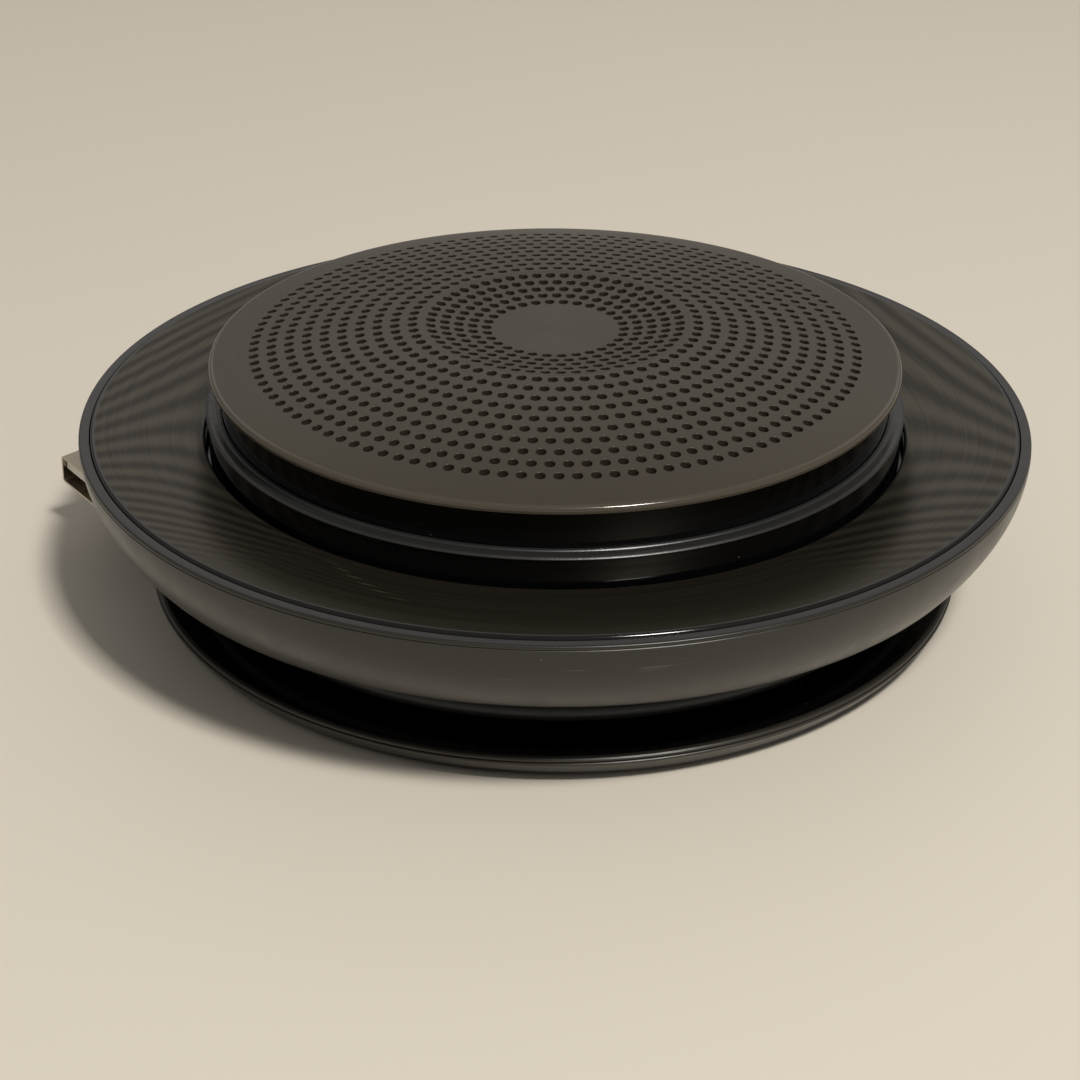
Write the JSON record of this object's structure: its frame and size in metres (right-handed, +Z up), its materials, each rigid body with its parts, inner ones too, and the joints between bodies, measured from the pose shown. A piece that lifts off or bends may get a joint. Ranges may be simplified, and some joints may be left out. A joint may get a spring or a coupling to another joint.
{
  "type": "conference speakerphone",
  "caption": "Low round table speakerphone: domed perforated grille over a driver, touch-key ring in a round bowl, base disc with fold-out stand, USB cord wound in the groove.",
  "frame": {"origin": "centre of the foot plane, on the underside of the rubber pad in the middle of the base", "axes": "+Z up along the unit's axis; -Y towards the front; +X right, along the first row of grille holes"},
  "size_m": [0.1401, 0.133, 0.0381],
  "materials": {
    "grille_metal": "satin, fine metallic",
    "cloth": "woven acoustic mesh",
    "gloss_black": "high gloss",
    "satin_black": "satin",
    "ring_face": "satin with fine turned grooves",
    "film": "amber film",
    "light_guide": "frosted",
    "circuit_board": "solder mask",
    "led_white": "moulded",
    "steel": "zinc plated",
    "rubber": "matte",
    "driver_steel": "black coated",
    "magnet": "sintered ferrite",
    "copper": "enamelled wire",
    "spider_cloth": "resin dipped cloth",
    "cone_paper": "pulp",
    "screw_steel": "plated",
    "brass": "gilt",
    "lead_red": "insulation",
    "lead_grey": "insulation",
    "bowl_satin": "satin lacquer",
    "chip_black": "moulded",
    "socket_white": "moulded",
    "cell_foil": "pouch foil",
    "hub_black": "moulded",
    "cord_jacket": "smooth jacket",
    "plug_metal": "plated, lightly brushed"
  },
  "bodies": {
    "unit": {"speaker_grille": "grille_metal", "grille_cloth": "cloth", "chassis": "gloss_black", "trim_ring": "satin_black", "touch_ring": "ring_face", "touch_film": "film", "light_guide": "light_guide", "led_board": "circuit_board", "status_leds": "led_white", "microphones": "steel", "mic_boots": "rubber", "driver_frame": "driver_steel", "driver_gasket": "rubber", "driver_top_plate": "steel", "driver_magnet": "magnet", "driver_yoke": "steel", "spider": "spider_cloth", "surround": "rubber", "driver_screws": "screw_steel", "driver_terminals": "brass", "speaker_leads": "lead_red", "lower_shell": "bowl_satin", "main_board": "circuit_board", "board_chips": "chip_black", "shield_can": "steel", "board_sockets": "socket_white", "board_screws": "screw_steel", "battery": "cell_foil", "battery_pad": "rubber", "battery_leads": "lead_red", "flex_ribbon": "film", "cable_spool": "hub_black", "cord_grommet": "rubber", "usb_cord": "cord_jacket", "cord_leads": "lead_grey", "plug_boot": "cord_jacket", "plug_overmold": "satin_black", "plug_shell": "plug_metal", "plug_tongue": "socket_white", "plug_contacts": "brass", "shell_screws": "screw_steel", "base_disc": "gloss_black", "base_screws": "screw_steel", "foot_ring": "rubber", "centre_pad": "rubber", "hinge_pins": "steel"},
    "stand": {"kickstand": "satin_black", "stand_pad": "rubber"},
    "diaphragm": {"cone": "cone_paper", "dust_cap": "cone_paper", "voice_coil": "copper"}
  },
  "joints": [
    {"name": "stand_hinge", "type": "hinge", "parent": "unit", "child": "stand", "pos_m": [0, 0, 0.0024], "axis": [-1, 0, 0], "range_deg": [0, 105]},
    {"name": "cone_travel", "type": "slide", "parent": "unit", "child": "diaphragm", "axis": [0, 0, 1], "range_m": [-0.0015, 0.0015], "stiffness_N_per_m": 1200}
  ]
}
